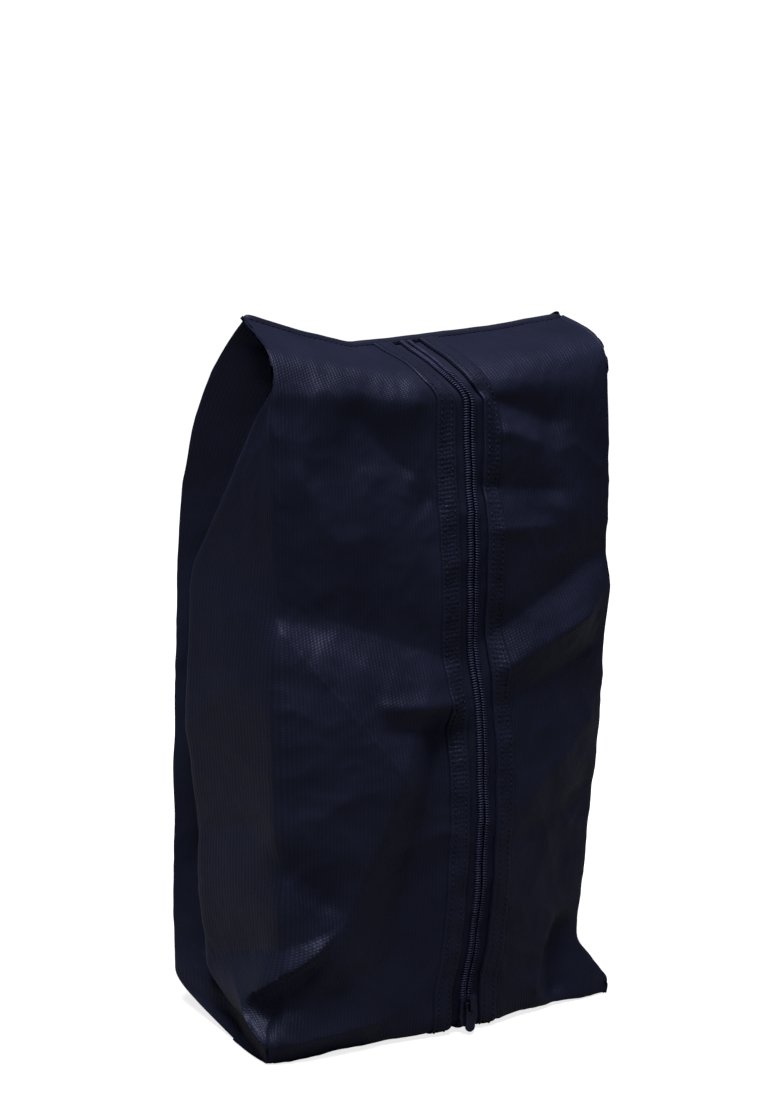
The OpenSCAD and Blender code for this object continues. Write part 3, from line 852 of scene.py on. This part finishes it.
def zip_band(sides, band, prefix, nodes):
    """Hem, tape, teeth and stitches of one band, each its own piece. nodes says what they stand for."""
    hems = [swept(s, span(s, band, HEM_STEP), HEM_SECTION, hem_pucker) for s in sides]
    tapes = [swept(s, span(s, band, TAPE_STEP), TAPE_SECTION) for s in sides]
    chain = [t for s in sides for t in teeth(s, band)]
    thread = [t for s in sides for t in stitches(s, band)]
    made = {
        "hem": tubes_piece(f"{prefix}_hem_{band}", hems, "ribbed_nylon"),
        "tape": tubes_piece(f"{prefix}_zip_tape_{band}", tapes, "zip_webbing"),
        "coil": tubes_piece(f"{prefix}_zip_teeth_{band}", chain, "coil_nylon"),
        "stitching": tubes_piece(f"{prefix}_zip_stitches_{band}", thread, "sewing_thread"),
    }
    for part, obj in made.items():
        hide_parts(nodes[part])
    return made.values()


for name, side in SIDES.items():
    stand_for = {"hem": f"front_{name}_panel", "tape": f"{name}_zip_tape", "coil": f"{name}_zip_coil",
                 "stitching": f"{name}_zip_stitching"}
    for band in ("lower", "upper"):
        for obj in zip_band([side], band, name, stand_for):
            opens_with(obj, band)

for band, prefix, panel in (("roof", "top", "front_top_panel"), ("base", "bottom", "front_base_panel")):
    stand_for = {"hem": panel, "tape": f"{prefix}_zip_tapes", "coil": f"{prefix}_zip_coils",
                 "stitching": f"{prefix}_zip_stitching"}
    for obj in zip_band(SIDES.values(), band, prefix, stand_for):
        folds_with(obj)


# ---------------------------------------------------------------- seams
# Sections of the lips: y and z from the seam's line.
TOP_LIP = [(-2.1, -3), (-2.15, -0.8), (-1.8, 0.5), (-1.1, 1.4), (0, 1.8), (1.1, 1.4), (1.8, 0.5),
           (2.15, -0.8), (2.1, -3)]
BASE_LIP = [(-1.4, -0.8), (-1.5, 1.2), (-0.8, 3.4), (0.8, 3.4), (1.5, 1.2), (1.4, -0.8)]
TOP_LIP_SHORT = 0.4     # the top lip ends this far inside the cloth
BASE_LIP_ENDS = -94, 92
BASE_LIP_Z = 2.6        # height of the bottom seam's line
LIP_END = 6             # each end of a lip is rounded over this length
LIP_END_SHARE = 0.25    # size of the section at the very end
SEAM_STITCH_LEN = 2.2
BARE_END = 3            # length without stitches at each end of a seam


def seam_rings(centre, section):
    """Rings of a section of (across, up) points in the y-z plane, carried along a line in x."""
    ring = np.array([[0, q[0], q[1]] for q in section])
    from_end = np.minimum(centre[:, 0] - centre[0, 0], centre[-1, 0] - centre[:, 0])
    rounded = np.sqrt(1 - (1 - np.clip(from_end / LIP_END, 0, 1))**2)
    size = LIP_END_SHARE + (1 - LIP_END_SHARE) * rounded
    return centre[:, None, :] + ring[None, :, :] * size[:, None, None]


def seam_stitches(centre, y_off, z_off):
    """Stitches along both faces of a lip, y_off either side of its middle."""
    tubes = []
    steps = np.concatenate([[0], np.cumsum(np.linalg.norm(np.diff(centre, axis=0), axis=1))])
    ring = np.stack([np.zeros(len(SIX_ROUND)), np.cos(SIX_ROUND), np.sin(SIX_ROUND)], axis=1)
    dive = np.array([-0.3, 0, 0.1, 0, -0.3])
    for face in (-1, 1):
        for s in np.arange(BARE_END, steps[-1] - BARE_END, STITCH_PITCH):
            at = s + np.linspace(-0.5, 0.5, len(STITCH_FAT)) * SEAM_STITCH_LEN
            p = np.stack([np.interp(at, steps, centre[:, k]) for k in range(3)], axis=1)
            p[:, 1] += face * (y_off + dive)
            p[:, 2] += z_off
            tubes.append(p[:, None, :] + ring[None] * (STITCH_FAT * STITCH_R)[:, None, None])
    return tubes


def end_seam(end, centre, section, y_off, z_off):
    """The bound lip of one end seam, and its stitches."""
    lip = tubes_piece(f"{end}_seam_binding_tape", [seam_rings(centre, section)], "binding_tape")
    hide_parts(f"{end}_seam_binding")
    folds_with(lip)
    stitched = seam_stitches(centre, y_off, z_off)
    thread = tubes_piece(f"{end}_seam_stitches", stitched, "sewing_thread")
    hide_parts(f"{end}_seam_stitching")
    folds_with(thread)


def top_seam_line():
    """Points along the upper edge of the front cloth, from its left end to its right."""
    edge = np.concatenate([skin[-1, :LEFT_EDGE + 1], skin[-1, RIGHT_EDGE:]])
    edge = edge[np.argsort(edge[:, 0])]
    x = np.linspace(edge[0, 0] + TOP_LIP_SHORT, edge[-1, 0] - TOP_LIP_SHORT, 150)
    return np.stack([x, np.full_like(x, SEAM_Y), np.interp(x, edge[:, 0], edge[:, 2])], axis=1)


def base_seam_line():
    """Points along the bottom seam, just over the floor."""
    x = np.linspace(*BASE_LIP_ENDS, 120)
    return np.stack([x, np.full_like(x, SEAM_Y + 1), np.full_like(x, BASE_LIP_Z)], axis=1)


end_seam("top", top_seam_line(), TOP_LIP, 2.05, -0.4)
end_seam("bottom", base_seam_line(), BASE_LIP, 1.6, 1.0)

# ---------------------------------------------------------------- slider and pull, kept from the CAD
for node_name, slot_name in (("slider_body", "slider_metal"), ("pull_tab", "tab_metal")):
    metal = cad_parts[node_name]
    metal.data.materials.clear()
    metal.data.materials.append(bpy.data.materials["navy_metal"])


# ---------------------------------------------------------------- stage, light and camera
FLOOR_BOUNCE = 0.3      # share of its light that the floor throws back up at the bag
FLOOR_HALF = 6.0        # metres from the bag to each edge of the floor
GLOW_FROM, GLOW_TO = 0.1, 0.8       # metres from the bag between which the floor turns white
GLOW_NEAR = 0.8         # the camera sees the floor glow this much at the bag
SEEN_WHITE = 1.02       # and this much, like the sky, further away
SKY_LIGHT = 0.03        # the sky itself gives next to no light


def floor_material():
    """Plain pale floor that stays white to the camera and throws little light back up."""
    m = Nodes("floor_white")
    grain = m.noise(m.coords("Object", (1, 1, 1)), 40, 2)
    path = m.add("ShaderNodeLightPath")
    seen = m.math("MAXIMUM", path.outputs["Is Camera Ray"], FLOOR_BOUNCE)
    pale = m.add("ShaderNodeMix", data_type="RGBA", blend_type="MULTIPLY")
    pale.inputs["Factor"].default_value = 1.0
    m.join(m.ramp(grain, [(0.2, (0.60, 0.60, 0.61)), (0.8, (0.62, 0.62, 0.63))]), pale.inputs["A"])
    m.join(seen, pale.inputs["B"])
    m.surface(pale.outputs["Result"], 0.9, Specular_IOR_Level=0.0)
    away = m.add("ShaderNodeVectorMath", operation="LENGTH")
    m.join(m.coords("Object", (1, 1, 1)), away.inputs[0])
    fade = m.add("ShaderNodeMapRange", interpolation_type="SMOOTHSTEP")
    fade.inputs["From Min"].default_value = GLOW_FROM
    fade.inputs["From Max"].default_value = GLOW_TO
    fade.inputs["To Min"].default_value = GLOW_NEAR
    fade.inputs["To Max"].default_value = SEEN_WHITE
    m.join(away.outputs["Value"], fade.inputs["Value"])
    m.shader.inputs["Emission Color"].default_value = (1, 1, 1, 1)
    glow = m.math("MULTIPLY", path.outputs["Is Camera Ray"], fade.outputs["Result"])
    m.join(glow, m.shader.inputs["Emission Strength"])
    return m.mat


def floor():
    mesh = bpy.data.meshes.new("floor")
    w = FLOOR_HALF
    mesh.from_pydata([(-w, -w, 0), (w, -w, 0), (w, w, 0), (-w, w, 0)], [], [(0, 1, 2, 3)])
    mesh.materials.append(floor_material())
    obj = bpy.data.objects.new("floor", mesh)
    bpy.context.scene.collection.objects.link(obj)
    return obj


def lamp(name, place_mm, aim_mm, size, power):
    """A white rectangular lamp. Places are in millimetres, its size in metres, its power in watts."""
    data = bpy.data.lights.new(name, "AREA")
    data.shape = "RECTANGLE"
    data.size, data.size_y = size
    data.energy = power
    obj = bpy.data.objects.new(name, data)
    obj.location = point(*place_mm)
    obj.rotation_euler = (point(*aim_mm) - obj.location).to_track_quat("-Z", "Y").to_euler()
    bpy.context.scene.collection.objects.link(obj)
    return obj


def white_sky():
    """A world that is white to the camera and nearly dark to everything else."""
    world = bpy.data.worlds.new("studio")
    world.use_nodes = True
    tree = world.node_tree
    sky = tree.nodes["Background"]
    sky.inputs["Color"].default_value = (1, 1, 1, 1)
    path = tree.nodes.new("ShaderNodeLightPath")
    level = tree.nodes.new("ShaderNodeMapRange")
    level.inputs["To Min"].default_value = SKY_LIGHT
    level.inputs["To Max"].default_value = SEEN_WHITE
    tree.links.new(path.outputs["Is Camera Ray"], level.inputs["Value"])
    tree.links.new(level.outputs["Result"], sky.inputs["Strength"])
    bpy.context.scene.world = world
    bpy.context.scene.view_settings.view_transform = "Standard"


CAMERA_PLACE = -564.0, -950.7, 408.6
CAMERA_TURN, CAMERA_DOWN = 30.4, 9.04   # degrees from straight ahead, fitted to the photo's creases
LENS, SENSOR = 73.55, 36.0              # focal length and sensor height in millimetres


def photo_camera():
    """Looks at the bag from where the photo was taken."""
    data = bpy.data.cameras.new("camera")
    data.sensor_fit = "VERTICAL"
    data.sensor_width = SENSOR
    data.sensor_height = SENSOR
    data.lens = LENS
    obj = bpy.data.objects.new("camera", data)
    obj.location = point(*CAMERA_PLACE)
    obj.rotation_euler = (math.radians(90 - CAMERA_DOWN), 0, math.radians(-CAMERA_TURN))
    bpy.context.scene.collection.objects.link(obj)
    bpy.context.scene.camera = obj


lights = [
    lamp("key", (-350, -440, 1760), (0, 0, 180), (0.9, 0.9), 44),
    lamp("side_fill", (-1600, -500, 900), (0, 0, 160), (0.9, 1.4), 0.3),
]
floor()
white_sky()
photo_camera()
